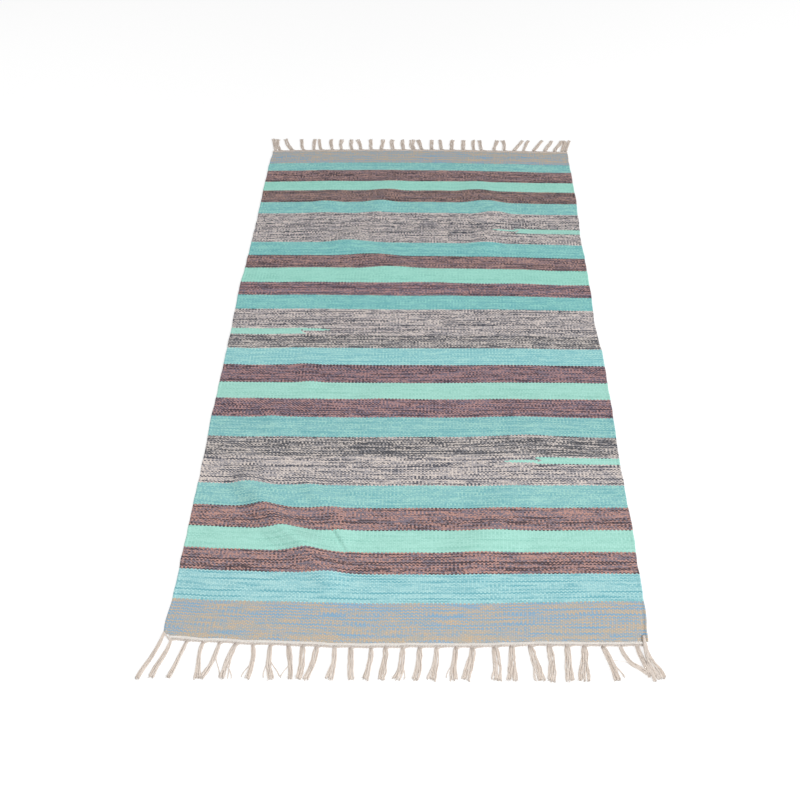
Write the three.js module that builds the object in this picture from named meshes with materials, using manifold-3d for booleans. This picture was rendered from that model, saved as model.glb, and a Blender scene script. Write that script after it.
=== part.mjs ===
// Kilim rug: a flat-woven cotton rug, lying flat, with low soft ridges left by folding and a knotted
// fringe at each end.
//
// Millimetres, +Z up. X runs across the rug, Y along it: +Y is the far end, -Y the near end.
// The cloth is one solid of even thickness. Each fringe is one comb: a heading along the woven edge,
// and the tassels that leave it. Everything lies on z = 0.
//
// The plan tables are measured from the middle of the woven body. At the end the group is shifted, so
// that the origin is the centre of the whole rug's footprint.

import * as THREE from 'three';
import { mergeVertices } from 'three/addons/utils/BufferGeometryUtils.js';
import Module from 'manifold-3d';

const wasm = await Module();
wasm.setup();

// ---------------------------------------------------------------- driving sizes
const RUG_WIDTH = 900;          // woven width, nominal
const RUG_LENGTH = 1500;        // woven length at the corners, nominal
const CLOTH_THICK = 4.0;        // heavy weft-faced cotton
const FRINGE_THICK = 3.2;       // a tassel lying flat
const GAP = 0.3;                // between the woven edge and the fringe heading
const HEADING_DEPTH = 8.5;      // twisted heading, measured away from the woven edge
const FRINGE_NEAR = 74;         // reach of the near tassels beyond the nominal edge
const FRINGE_FAR = 67;          // reach of the far tassels beyond the nominal edge
const NEAR_CUT_SLOPE = 0.008;   // the near tassels are cut a little longer towards the left
const CELLS_X = 34;             // facets across the cloth
const CELLS_Y = 48;             // facets along the cloth
const FLAT_BELOW = 0.2;         // a rise under this is laid flat on the floor

// ---------------------------------------------------------------- outline of the woven body
// side edges: left and right stand out from the nominal half width by these amounts at y
const SIDES = [
  { y: -752, left: 5.8, right: 3.0 },
  { y: -735, left: 5.6, right: 5.0 },
  { y: -705, left: 4.2, right: 8.5 },
  { y: -670, left: 2.3, right: 8.6 },
  { y: -600, left: 2.6, right: 8.2 },
  { y: -510, left: 3.2, right: 9.3 },
  { y: -430, left: 3.0, right: 6.9 },
  { y: -330, left: 3.4, right: 5.5 },
  { y: -250, left: 6.4, right: 7.4 },
  { y: -150, left: 5.4, right: 7.0 },
  { y: -60, left: 5.3, right: 7.0 },
  { y: 40, left: 5.5, right: 0.2 },
  { y: 100, left: 7.3, right: 0.3 },
  { y: 155, left: 8.6, right: 2.4 },
  { y: 270, left: 5.4, right: 0.8 },
  { y: 370, left: 3.5, right: -1.8 },
  { y: 470, left: 2.3, right: 1.3 },
  { y: 540, left: 3.2, right: 2.7 },
  { y: 640, left: 3.4, right: 0.7 },
  { y: 752, left: 0.0, right: -0.7 },
];

// woven ends: how far each stands out beyond the nominal half length at x
const ENDS = [
  { x: -450, near: -0.5, far: 0.0 },
  { x: -360, near: 3.5, far: 3.0 },
  { x: -270, near: 6.5, far: 6.0 },
  { x: -90, near: 9.5, far: 9.0 },
  { x: 90, near: 7.0, far: 9.0 },
  { x: 270, near: 1.5, far: 5.5 },
  { x: 360, near: 0.5, far: 3.0 },
  { x: 450, near: -0.5, far: 2.0 },
];

// ---------------------------------------------------------------- ridges left in the cloth
// each row is one ridge: its crest runs through the listed stations (x, y, height), and it fades out
// over the given half width on both sides
const RIDGES = [
  { name: 'corner fold', half: 49, crest: [[-372, -385, 2], [-347, -412, 14], [-308, -464, 16], [-268, -515, 17], [-208, -566, 19], [-152, -618, 11], [-126, -655, 1.5]] },
  { name: 'second corner fold', half: 32, crest: [[-227, -405, 2], [-201, -440, 6], [-161, -480, 5.5], [-135, -530, 3.5], [-112, -575, 0.5]] },
  { name: 'left fold', half: 39, crest: [[-392, -160, 0.5], [-360, -188, 1], [-316, -238, 4.5], [-289, -290, 1.5], [-270, -330, 0.5]] },
  { name: 'left middle fold', half: 47, crest: [[-269, -50, 0.5], [-257, -88, 4], [-242, -138, 5], [-235, -175, 0.5]] },
  { name: 'left edge lift', half: 41, crest: [[-440, -60, 0.5], [-433, -88, 1.5], [-424, -120, 0.5]] },
  { name: 'upper left fold', half: 54, crest: [[-244, 600, 1], [-242, 566, 1.5], [-260, 520, 4.5], [-251, 469, 2], [-240, 430, 0.5]] },
  { name: 'upper middle fold', half: 60, crest: [[-68, 610, 2], [-88, 569, 5.5], [-108, 523, 6.5], [-116, 471, 4], [-101, 430, 0.5]] },
  { name: 'long middle fold', half: 67, crest: [[-234, 380, 1.5], [-193, 350, 9.5], [-128, 300, 8], [-67, 248, 8.5], [37, 195, 3], [96, 146, 1], [130, 110, 0.5]] },
  { name: 'upper right fold', half: 68, crest: [[143, 620, 1], [163, 574, 6.5], [183, 525, 9], [213, 477, 12], [205, 410, 3], [186, 347, 6.5], [190, 300, 0.5]] },
  { name: 'right rise', half: 113, crest: [[211, -255, 4.5], [256, -286, 7], [317, -300, 4]] },
  { name: 'lower right rise', half: 84, crest: [[216, -470, 2.5], [175, -519, 7.5], [138, -572, 7], [110, -615, 0.5]] },
  { name: 'centre rise', half: 80, crest: [[-110, -160, 0.5], [-71, -188, 3], [-23, -215, 2]] },
];

// ---------------------------------------------------------------- tassels
// one row per tassel, left to right: x where it leaves the heading, x half way, x at the tip, the
// widths half way and at the tip, and how far the tip falls short of the others
const TASSEL_COLUMNS = ['root', 'middle', 'tip', 'waist', 'tipWidth', 'short'];
const NEAR_TASSELS = [
  [-446, -467, -485, 8, 8, 0], [-438, -449, -461, 8, 11, 0], [-408, -417, -428, 8, 9, 0],
  [-377, -379, -375, 8, 12, 0], [-346, -353, -367, 8.5, 9, 0], [-314, -326, -330, 10, 11, 0],
  [-283, -279, -284, 8, 9, 0], [-250, -249, -242, 9, 11, 0], [-217, -209, -206, 10, 9, 0],
  [-190, -188, -192, 11, 11, 0], [-163, -168, -178, 10.5, 11, 0], [-130, -130, -136, 9.5, 16, 0],
  [-100, -98, -95, 11.5, 11, 0], [-63, -63, -70, 9, 13, 0], [-36, -36, -42, 11, 15, 0],
  [-4, -5, -14, 10.5, 14, 0], [28, 27, 21, 10.5, 12, 0], [60, 57, 50, 10, 16, 0],
  [96, 92, 91, 10.5, 13, 0], [126, 121, 112, 12.5, 17, 0], [167, 170, 168, 14, 18, 0],
  [199, 198, 196, 13, 19, 0], [234, 241, 247, 13, 19, 0], [269, 271, 268, 12.5, 15, 0],
  [303, 301, 302, 11.5, 14.5, 0], [334, 331, 327, 12, 22, 0], [368, 380, 387, 10.5, 12, 0],
  [400, 417, 445, 10, 10, 12.6], [431, 442, 450, 11, 12, 12], [446, 453, 463, 17, 30, 8],
];
const FAR_TASSELS = [
  [-443, -448, -456, 10, 10, 0], [-430, -440, -443, 9, 9, 0], [-392, -408, -418, 10, 10, 0],
  [-358, -365, -369, 8, 8, 0], [-325, -328, -327, 9, 9, 0], [-303, -310, -313, 8, 8, 0],
  [-270, -275, -277, 9, 9, 0], [-242, -245, -246, 8, 8, 0], [-210, -213, -215, 9, 10, 0],
  [-182, -186, -194, 9, 10, 0], [-150, -153, -154, 9.5, 9, 0], [-119, -117, -115, 10, 11, 0],
  [-83, -87, -87, 10, 11, 0], [-52, -54, -55, 10, 10, 0], [-20, -25, -26, 13, 14, 0],
  [5, 0, -8, 10, 11, 0], [36, 35, 35, 10, 10, 0], [66, 63, 62, 9, 9, 0], [97, 97, 101, 11, 11, 0],
  [131, 133, 133, 10.5, 11, 0], [163, 164, 165, 9, 9, 0], [187, 186, 183, 9, 9, 0],
  [226, 231, 239, 9, 10, 0], [257, 259, 256, 9, 10, 0], [286, 302, 316, 10, 9, 0],
  [315, 324, 335, 8.5, 8, 0], [345, 361, 376, 9.5, 8, 0], [379, 394, 407, 10, 9, 0],
  [408, 424, 437, 10, 9, 0], [433, 440, 446, 9, 8, 0], [443, 451, 461, 10, 9, 0],
];
const ROOT_WIDTH = 10.5;        // eight warps drawn together

// ---------------------------------------------------------------- helpers
// smooth reading of a table at a place between its rows
function between(rows, key, column, at) {
  const last = rows.length - 1;
  if (at <= rows[0][key]) return rows[0][column];
  if (at >= rows[last][key]) return rows[last][column];
  let i = 0;
  while (at > rows[i + 1][key]) i += 1;
  const t = (at - rows[i][key]) / (rows[i + 1][key] - rows[i][key]);
  const s = t * t * (3 - 2 * t);
  return rows[i][column] * (1 - s) + rows[i + 1][column] * s;
}

const leftEdge = (y) => -(RUG_WIDTH / 2 + between(SIDES, 'y', 'left', y));
const rightEdge = (y) => RUG_WIDTH / 2 + between(SIDES, 'y', 'right', y);
const nearEdge = (x) => -(RUG_LENGTH / 2 + between(ENDS, 'x', 'near', x));
const farEdge = (x) => RUG_LENGTH / 2 + between(ENDS, 'x', 'far', x);

// height of one ridge above the floor at (x, y)
function ridgeHeight(ridge, x, y) {
  let best = 0;
  for (let i = 0; i + 1 < ridge.crest.length; i += 1) {
    const [ax, ay, ah] = ridge.crest[i];
    const [bx, by, bh] = ridge.crest[i + 1];
    const len2 = (bx - ax) ** 2 + (by - ay) ** 2;
    const t = Math.min(1, Math.max(0, ((x - ax) * (bx - ax) + (y - ay) * (by - ay)) / len2));
    const d = Math.hypot(x - (ax + t * (bx - ax)), y - (ay + t * (by - ay)));
    if (d < ridge.half) {
      const h = (ah + t * (bh - ah)) * 0.5 * (1 + Math.cos((Math.PI * d) / ridge.half));
      best = Math.max(best, h);
    }
  }
  return best;
}

// rise of the cloth's underside: the ridges added up, laid flat where they have all but gone
function rise(x, y) {
  let sum = 0;
  for (const ridge of RIDGES) sum += ridgeHeight(ridge, x, y);
  return sum < FLAT_BELOW ? 0 : sum;
}

// one point of the plan: s across from 0 to 1, t along from 0 (near) to 1 (far)
function planPoint(s, t) {
  const xMid = (s - 0.5) * RUG_WIDTH;
  const y = nearEdge(xMid) * (1 - t) + farEdge(xMid) * t;
  const x = leftEdge(y) * (1 - s) + rightEdge(y) * s;
  return [x, y];
}

// ---------------------------------------------------------------- the woven body
function clothGeometry() {
  const columns = CELLS_X + 1;
  const positions = [];
  for (const top of [0, 1]) {
    for (let j = 0; j <= CELLS_Y; j += 1) {
      for (let i = 0; i <= CELLS_X; i += 1) {
        const [x, y] = planPoint(i / CELLS_X, j / CELLS_Y);
        positions.push(x, y, rise(x, y) + top * CLOTH_THICK);
      }
    }
  }
  const at = (top, i, j) => top * columns * (CELLS_Y + 1) + j * columns + i;
  const index = [];
  const quad = (a, b, c, d) => index.push(a, b, c, a, c, d);
  for (let j = 0; j < CELLS_Y; j += 1) {
    for (let i = 0; i < CELLS_X; i += 1) {
      quad(at(1, i, j), at(1, i + 1, j), at(1, i + 1, j + 1), at(1, i, j + 1));
      quad(at(0, i, j), at(0, i, j + 1), at(0, i + 1, j + 1), at(0, i + 1, j));
    }
  }
  for (let i = 0; i < CELLS_X; i += 1) {
    quad(at(0, i, 0), at(0, i + 1, 0), at(1, i + 1, 0), at(1, i, 0));
    quad(at(0, i + 1, CELLS_Y), at(0, i, CELLS_Y), at(1, i, CELLS_Y), at(1, i + 1, CELLS_Y));
  }
  for (let j = 0; j < CELLS_Y; j += 1) {
    quad(at(0, 0, j + 1), at(0, 0, j), at(1, 0, j), at(1, 0, j + 1));
    quad(at(0, CELLS_X, j), at(0, CELLS_X, j + 1), at(1, CELLS_X, j + 1), at(1, CELLS_X, j));
  }
  const geometry = new THREE.BufferGeometry();
  geometry.setAttribute('position', new THREE.Float32BufferAttribute(positions, 3));
  geometry.setIndex(index);
  return geometry;
}

// ---------------------------------------------------------------- the fringes
function slab(outline) {
  const shape = new THREE.Shape(outline.map(([x, y]) => new THREE.Vector2(x, y)));
  return new THREE.ExtrudeGeometry(shape, { depth: FRINGE_THICK, bevelEnabled: false });
}

function toSolid(geometry) {
  const bare = geometry.clone();
  bare.deleteAttribute('normal');
  bare.deleteAttribute('uv');
  const merged = mergeVertices(bare, 1e-4);
  return new wasm.Manifold(new wasm.Mesh({
    numProp: 3,
    vertProperties: new Float32Array(merged.attributes.position.array),
    triVerts: new Uint32Array(merged.index.array),
  }));
}

// the heading: a strip that follows the woven edge
function headingOutline(end) {
  const edge = end < 0 ? nearEdge : farEdge;
  const inner = [];
  const outer = [];
  for (let i = 0; i <= CELLS_X; i += 1) {
    const [x, y] = planPoint(i / CELLS_X, end < 0 ? 0 : 1);
    inner.push([x, y + end * GAP]);
    outer.push([x, y + end * (GAP + HEADING_DEPTH)]);
  }
  return inner.concat(outer.reverse());
}

// a tassel: a flat bundle of yarns, drawn in at its root and spread a little at its tip
function tasselOutline(row, end, reach) {
  const tassel = Object.fromEntries(TASSEL_COLUMNS.map((name, i) => [name, row[i]]));
  const edge = end < 0 ? nearEdge : farEdge;
  const rootY = edge(tassel.root) + end * (GAP + 1.5);
  const cutSlope = end < 0 ? NEAR_CUT_SLOPE * tassel.tip : 0;
  const tipY = end * (RUG_LENGTH / 2 + reach - tassel.short) + cutSlope;
  const middleY = (rootY + tipY) / 2;
  const stations = [
    [tassel.root, rootY, ROOT_WIDTH],
    [tassel.middle, middleY, tassel.waist],
    [tassel.tip, tipY, tassel.tipWidth],
  ];
  const left = stations.map(([x, y, w]) => [x - w / 2, y]);
  const right = stations.map(([x, y, w]) => [x + w / 2, y]).reverse();
  return left.concat(right);
}

function fringeGeometry(tassels, end, reach) {
  let comb = toSolid(slab(headingOutline(end)));
  for (const row of tassels) comb = comb.add(toSolid(slab(tasselOutline(row, end, reach))));
  const mesh = comb.getMesh();
  const geometry = new THREE.BufferGeometry();
  geometry.setAttribute('position', new THREE.BufferAttribute(new Float32Array(mesh.vertProperties), 3));
  geometry.setIndex(new THREE.BufferAttribute(new Uint32Array(mesh.triVerts), 1));
  return geometry;
}

// ---------------------------------------------------------------- materials and assembly
const weave = new THREE.MeshStandardMaterial({ color: 0x8fb9b3, roughness: 0.95, metalness: 0.0 });
const yarn = new THREE.MeshStandardMaterial({ color: 0xdccfc2, roughness: 0.95, metalness: 0.0 });

function piece(name, geometry, material) {
  const mesh = new THREE.Mesh(geometry, material);
  mesh.name = name;
  return mesh;
}

const group = new THREE.Group();
group.add(piece('rug', clothGeometry(), weave));
group.add(piece('fringe_near', fringeGeometry(NEAR_TASSELS, -1, FRINGE_NEAR), yarn));
group.add(piece('fringe_far', fringeGeometry(FAR_TASSELS, 1, FRINGE_FAR), yarn));

// origin at the centre of the footprint, on the floor
const footprint = new THREE.Box3().setFromObject(group, true);
group.position.set(
  -(footprint.min.x + footprint.max.x) / 2,
  -(footprint.min.y + footprint.max.y) / 2,
  -footprint.min.z,
);

export default group;
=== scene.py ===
# Kilim rug: the looks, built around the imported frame.
# The rug lies on z = 0, +Y towards its far end. Tables are in millimetres, measured from the middle of
# the woven body; everything that is made is in metres in the part's frame.

import math

import bpy
import numpy as np
from mathutils import Matrix, Vector


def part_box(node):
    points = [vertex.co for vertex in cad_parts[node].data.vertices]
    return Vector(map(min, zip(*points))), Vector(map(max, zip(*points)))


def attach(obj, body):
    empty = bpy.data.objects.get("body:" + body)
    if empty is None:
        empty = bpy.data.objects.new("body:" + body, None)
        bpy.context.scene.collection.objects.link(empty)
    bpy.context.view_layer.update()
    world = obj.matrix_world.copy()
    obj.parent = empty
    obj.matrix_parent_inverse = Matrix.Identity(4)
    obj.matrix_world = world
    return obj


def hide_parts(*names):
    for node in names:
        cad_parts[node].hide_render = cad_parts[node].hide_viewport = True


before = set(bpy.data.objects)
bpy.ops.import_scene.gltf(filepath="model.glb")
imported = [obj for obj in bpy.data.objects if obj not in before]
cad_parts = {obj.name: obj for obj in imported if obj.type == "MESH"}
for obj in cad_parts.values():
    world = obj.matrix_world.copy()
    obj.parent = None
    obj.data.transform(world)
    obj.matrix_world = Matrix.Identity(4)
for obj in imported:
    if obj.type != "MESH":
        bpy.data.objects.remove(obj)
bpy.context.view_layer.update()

MM = 0.001

# ------------------------------------------------------------------ driving sizes (mm)
RUG_WIDTH = 900.0
RUG_LENGTH = 1500.0
CLOTH_THICK = 4.0
GAP = 0.3
FRINGE_NEAR = 74.0
FRINGE_FAR = 67.0
NEAR_CUT_SLOPE = 0.008
WARPS = 228                 # across the rug
PICKS = 1040                # along the rug
WARP_PITCH = RUG_WIDTH / WARPS
PICK_PITCH = RUG_LENGTH / PICKS

# side edges: how far left and right stand out from the nominal half width, at y
SIDES = [
    (-752, 5.8, 3.0), (-735, 5.6, 5.0), (-705, 4.2, 8.5), (-670, 2.3, 8.6), (-600, 2.6, 8.2), (-510, 3.2, 9.3),
    (-430, 3.0, 6.9), (-330, 3.4, 5.5), (-250, 6.4, 7.4), (-150, 5.4, 7.0), (-60, 5.3, 7.0), (40, 5.5, 0.2),
    (100, 7.3, 0.3), (155, 8.6, 2.4), (270, 5.4, 0.8), (370, 3.5, -1.8), (470, 2.3, 1.3), (540, 3.2, 2.7),
    (640, 3.4, 0.7), (752, 0.0, -0.7),
]
# woven ends: how far near and far stand out beyond the nominal half length, at x
ENDS = [
    (-450, -0.5, 0.0), (-360, 3.5, 3.0), (-270, 6.5, 6.0), (-90, 9.5, 9.0), (90, 7.0, 9.0), (270, 1.5, 5.5),
    (360, 0.5, 3.0), (450, -0.5, 2.0),
]
# ridges left in the cloth: half width, then the crest as (x, y, height)
RIDGES = {
    "corner fold": (49, [(-372, -385, 2), (-347, -412, 14), (-308, -464, 16), (-268, -515, 17), (-208, -566, 19), (-152, -618, 11), (-126, -655, 1.5)]),
    "second corner fold": (32, [(-227, -405, 2), (-201, -440, 6), (-161, -480, 5.5), (-135, -530, 3.5), (-112, -575, 0.5)]),
    "left fold": (39, [(-392, -160, 0.5), (-360, -188, 1), (-316, -238, 4.5), (-289, -290, 1.5), (-270, -330, 0.5)]),
    "left middle fold": (47, [(-269, -50, 0.5), (-257, -88, 4), (-242, -138, 5), (-235, -175, 0.5)]),
    "left edge lift": (41, [(-440, -60, 0.5), (-433, -88, 1.5), (-424, -120, 0.5)]),
    "upper left fold": (54, [(-244, 600, 1), (-242, 566, 1.5), (-260, 520, 4.5), (-251, 469, 2), (-240, 430, 0.5)]),
    "upper middle fold": (60, [(-68, 610, 2), (-88, 569, 5.5), (-108, 523, 6.5), (-116, 471, 4), (-101, 430, 0.5)]),
    "long middle fold": (67, [(-234, 380, 1.5), (-193, 350, 9.5), (-128, 300, 8), (-67, 248, 8.5), (37, 195, 3), (96, 146, 1), (130, 110, 0.5)]),
    "upper right fold": (68, [(143, 620, 1), (163, 574, 6.5), (183, 525, 9), (213, 477, 12), (205, 410, 3), (186, 347, 6.5), (190, 300, 0.5)]),
    "right rise": (113, [(211, -255, 4.5), (256, -286, 7), (317, -300, 4)]),
    "lower right rise": (84, [(216, -470, 2.5), (175, -519, 7.5), (138, -572, 7), (110, -615, 0.5)]),
    "centre rise": (80, [(-110, -160, 0.5), (-71, -188, 3), (-23, -215, 2)]),
}

# finer lines in the cloth: half width, how far the picks are pushed along (mm), then the line as
# (x, y, height); a height below zero is a crease
FINE_LINES = {
    "sharp crest": (20, 1.2, [(-332, -436, 0), (-306, -467, 2.5), (-262, -521, 2.5), (-204, -569, 2.5), (-165, -612, 1), (-145, -635, 0)]),
    "crease beside it": (5.5, 0.0, [(-164, -516, 0), (-155, -530, -3.3), (-138, -556, -3.3), (-126, -575, -2.6), (-112, -594, 0)]),
    "lip of the crease": (8.0, 0.0, [(-156, -512, 0), (-147, -526, 1.3), (-130, -552, 1.5), (-118, -571, 1.2), (-104, -590, 0)]),
    "wrinkle one": (5.0, 0.0, [(-300, -521, 0), (-284, -535, -1.3), (-246, -566, -1.3), (-232, -578, 0)]),
    "wrinkle two": (5.0, 0.0, [(-286, -517, 0), (-270, -531, -1.2), (-232, -562, -1.2), (-218, -574, 0)]),
    "wrinkle three": (5.0, 0.0, [(-312, -528, 0), (-298, -540, -1.0), (-262, -572, -1.0), (-248, -584, 0)]),
}

# how far the picks bow towards the far end, in mm, at y and at the five x of BOW_AT
BOW_AT = (-400.0, -250.0, 0.0, 250.0, 400.0)
BOWS = [
    (-740, 0.0, 0.0, 0.0, 0.0, 0.0), (-678, -2.8, 0.0, 0.5, -0.5, 2.8), (-600, 0.4, 1.5, -0.2, -0.9, 0.1),
    (-523, 1.8, -0.2, 0.8, -0.9, 0.9), (-440, -1.8, -1.0, 0.3, -0.4, 1.1), (-294, -3.9, -1.2, 1.1, 2.4, 0.5),
    (-215, -2.3, -1.0, -0.3, -0.4, 0.5), (-142, -3.3, -1.7, -1.3, 0.9, 1.3), (-65, -4.2, -0.5, -0.5, 0.5, -1.0),
    (91, -1.1, 0.1, -1.2, 1.0, -0.5), (166, 1.0, 1.7, -0.2, -0.6, -3.5), (241, 1.0, 2.6, -0.3, -0.6, -4.4),
    (317, 2.9, 2.0, -0.4, -1.3, -3.6), (466, -0.8, 0.5, 1.1, -1.0, -0.9), (540, 1.6, 0.6, 0.6, -0.5, -1.8),
    (612, 0.3, 0.4, 0.0, -1.1, 0.0), (677, 0.1, 0.9, -0.1, -0.9, -2.9), (740, 0.0, 0.0, 0.0, 0.0, 0.0),
]

# tassels, left to right: x at the root, half way and at the tip, widths half way and at the tip, and how
# far the tip falls short of the others
NEAR_TASSELS = [
    (-446, -467, -485, 8, 8, 0), (-438, -449, -461, 8, 11, 0), (-408, -417, -428, 8, 9, 0),
    (-377, -379, -375, 8, 12, 0), (-346, -353, -367, 8.5, 9, 0), (-314, -326, -330, 10, 11, 0),
    (-283, -279, -284, 8, 9, 0), (-250, -249, -242, 9, 11, 0), (-217, -209, -206, 10, 9, 0),
    (-190, -188, -192, 11, 11, 0), (-163, -168, -178, 10.5, 11, 0), (-130, -130, -136, 9.5, 16, 0),
    (-100, -98, -95, 11.5, 11, 0), (-63, -63, -70, 9, 13, 0), (-36, -36, -42, 11, 15, 0), (-4, -5, -14, 10.5, 14, 0),
    (28, 27, 21, 10.5, 12, 0), (60, 57, 50, 10, 16, 0), (96, 92, 91, 10.5, 13, 0), (126, 121, 112, 12.5, 17, 0),
    (167, 170, 168, 14, 18, 0), (199, 198, 196, 13, 19, 0), (234, 241, 247, 13, 19, 0), (269, 271, 268, 12.5, 15, 0),
    (303, 301, 302, 11.5, 14.5, 0), (334, 331, 327, 12, 22, 0), (368, 380, 387, 10.5, 12, 0),
    (400, 417, 445, 10, 10, 12.6), (431, 442, 450, 11, 12, 12), (446, 453, 463, 17, 30, 8),
]
FAR_TASSELS = [
    (-443, -448, -456, 10, 10, 0), (-430, -440, -443, 9, 9, 0), (-392, -408, -418, 10, 10, 0),
    (-358, -365, -369, 8, 8, 0), (-325, -328, -327, 9, 9, 0), (-303, -310, -313, 8, 8, 0),
    (-270, -275, -277, 9, 9, 0), (-242, -245, -246, 8, 8, 0), (-210, -213, -215, 9, 10, 0),
    (-182, -186, -194, 9, 10, 0), (-150, -153, -154, 9.5, 9, 0), (-119, -117, -115, 10, 11, 0),
    (-83, -87, -87, 10, 11, 0), (-52, -54, -55, 10, 10, 0), (-20, -25, -26, 13, 14, 0), (5, 0, -8, 10, 11, 0),
    (36, 35, 35, 10, 10, 0), (66, 63, 62, 9, 9, 0), (97, 97, 101, 11, 11, 0), (131, 133, 133, 10.5, 11, 0),
    (163, 164, 165, 9, 9, 0), (187, 186, 183, 9, 9, 0), (226, 231, 239, 9, 10, 0), (257, 259, 256, 9, 10, 0),
    (286, 302, 316, 10, 9, 0), (315, 324, 335, 8.5, 8, 0), (345, 361, 376, 9.5, 8, 0), (379, 394, 407, 10, 9, 0),
    (408, 424, 437, 10, 9, 0), (433, 440, 446, 9, 8, 0), (443, 451, 461, 10, 9, 0),
]

# the plan's middle in the part's frame, from where the near fringe's solid lies
near_low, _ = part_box("fringe_near")
SHIFT_X = near_low[0] / MM - min(row[2] - row[4] / 2 for row in NEAR_TASSELS)
SHIFT_Y = near_low[1] / MM - min(-(RUG_LENGTH / 2 + FRINGE_NEAR - row[5]) + NEAR_CUT_SLOPE * row[2] for row in NEAR_TASSELS)


# ------------------------------------------------------------------ plan and height
def between(table, column, at):
    """Smooth reading of a table's column at a place between its rows, as in the part's source."""
    keys = np.array([row[0] for row in table], float)
    values = np.array([row[column] for row in table], float)
    at = np.clip(np.asarray(at, float), keys[0], keys[-1])
    i = np.clip(np.searchsorted(keys, at, side="right") - 1, 0, len(keys) - 2)
    t = (at - keys[i]) / (keys[i + 1] - keys[i])
    w = t * t * (3 - 2 * t)
    return values[i] * (1 - w) + values[i + 1] * w


def left_edge(y):
    return -(RUG_WIDTH / 2 + between(SIDES, 1, y))


def right_edge(y):
    return RUG_WIDTH / 2 + between(SIDES, 2, y)


def near_edge(x):
    return -(RUG_LENGTH / 2 + between(ENDS, 1, x))


def far_edge(x):
    return RUG_LENGTH / 2 + between(ENDS, 2, x)


def rise(x, y):
    """Height of the cloth's underside above the floor: every ridge added up."""
    total = np.zeros(np.shape(x))
    for half, crest in RIDGES.values():
        best = np.zeros(np.shape(x))
        for (ax, ay, ah), (bx, by, bh) in zip(crest, crest[1:]):
            len2 = (bx - ax) ** 2 + (by - ay) ** 2
            t = np.clip(((x - ax) * (bx - ax) + (y - ay) * (by - ay)) / len2, 0, 1)
            d = np.hypot(x - (ax + t * (bx - ax)), y - (ay + t * (by - ay)))
            h = (ah + t * (bh - ah)) * 0.5 * (1 + np.cos(np.pi * np.clip(d / half, 0, 1)))
            best = np.maximum(best, h)
        total += best
    return total


def fine_lines(x, y):
    """What the finer lines add to the height, and how far they push the picks along."""
    height, push = np.zeros(np.shape(x)), np.zeros(np.shape(x))
    for half, shove, line in FINE_LINES.values():
        best, pushed = np.zeros(np.shape(x)), np.zeros(np.shape(x))
        top = max(abs(h) for _, _, h in line)
        for (ax, ay, ah), (bx, by, bh) in zip(line, line[1:]):
            len2 = (bx - ax) ** 2 + (by - ay) ** 2
            t = np.clip(((x - ax) * (bx - ax) + (y - ay) * (by - ay)) / len2, 0, 1)
            d = np.hypot(x - (ax + t * (bx - ax)), y - (ay + t * (by - ay)))
            bell = 0.5 * (1 + np.cos(np.pi * np.clip(d / half, 0, 1)))
            h = (ah + t * (bh - ah)) * bell
            best = np.where(np.abs(h) > np.abs(best), h, best)
            pushed = np.maximum(pushed, shove * bell * np.abs(ah + t * (bh - ah)) / top)
        height, push = height + best, push + pushed
    return height, push


def bow(x, y):
    """How far a pick at plan (x, y) bows towards the far end, in mm."""
    columns = np.stack([between(BOWS, k + 1, y) for k in range(len(BOW_AT))], -1)
    x = np.clip(x, BOW_AT[0], BOW_AT[-1])
    i = np.clip(np.searchsorted(BOW_AT, x, side="right") - 1, 0, len(BOW_AT) - 2)
    at = np.array(BOW_AT)
    w = (x - at[i]) / (at[i + 1] - at[i])
    w = w * w * (3 - 2 * w)
    low = np.take_along_axis(columns, i[..., None], -1)[..., 0]
    high = np.take_along_axis(columns, i[..., None] + 1, -1)[..., 0]
    return low * (1 - w) + high * w


def waves(x, y, scale, seed, count=24):
    """Smooth unevenness of about unit size, the same each run: a sum of plane waves of wavelength near scale (mm)."""
    rng = np.random.default_rng(seed)
    out = np.zeros(np.shape(x))
    for _ in range(count):
        angle = rng.uniform(0, 2 * math.pi)
        k = 2 * math.pi / (scale * rng.uniform(0.7, 1.6))
        out += np.sin(k * (x * math.cos(angle) + y * math.sin(angle)) + rng.uniform(0, 2 * math.pi))
    return out / math.sqrt(count / 2)


def plan_point(s, t):
    """Plan position of weave place (s, t), both 0 to 1."""
    x_mid = (s - 0.5) * RUG_WIDTH
    y = near_edge(x_mid) * (1 - t) + far_edge(x_mid) * t
    x = left_edge(y) * (1 - s) + right_edge(y) * s
    return x, y


# the near corners of the cloth are cut off aslant: hand, a point on the cut, and half its length
CORNER_CUTS = [(-1, (-447.5, -751.0), 8.5), (1, (450.5, -753.0), 5.0)]
CUT_BAND = 10.0             # mm inside the cut over which the weave is drawn in


def cut_corners(x, y):
    for hand, (cx, cy), half in CORNER_CUTS:
        inward = ((y - cy) - hand * (x - cx)) / math.sqrt(2)
        beside = ((y - cy) + hand * (x - cx)) / math.sqrt(2)
        deep = np.maximum(0.0, half - np.abs(beside))
        move = np.where(inward < CUT_BAND, CUT_BAND * (inward + deep) / (CUT_BAND + deep) - inward, 0.0)
        move = np.where(deep > 0, move, 0.0)
        x = x - hand * move / math.sqrt(2)
        y = y + move / math.sqrt(2)
    return x, y


def to_frame(points):
    """Plan millimetres to metres in the part's frame."""
    out = np.array(points, float)
    out[..., 0] += SHIFT_X
    out[..., 1] += SHIFT_Y
    return out * MM


# ------------------------------------------------------------------ mesh helpers
def make_mesh(name, points, faces, smooth=True):
    mesh = bpy.data.meshes.new(name)
    mesh.from_pydata([tuple(p) for p in points], [], [tuple(f) for f in faces])
    mesh.validate()
    mesh.polygons.foreach_set("use_smooth", [smooth] * len(mesh.polygons))
    mesh.update()
    obj = bpy.data.objects.new(name, mesh)
    bpy.context.scene.collection.objects.link(obj)
    return obj


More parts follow.
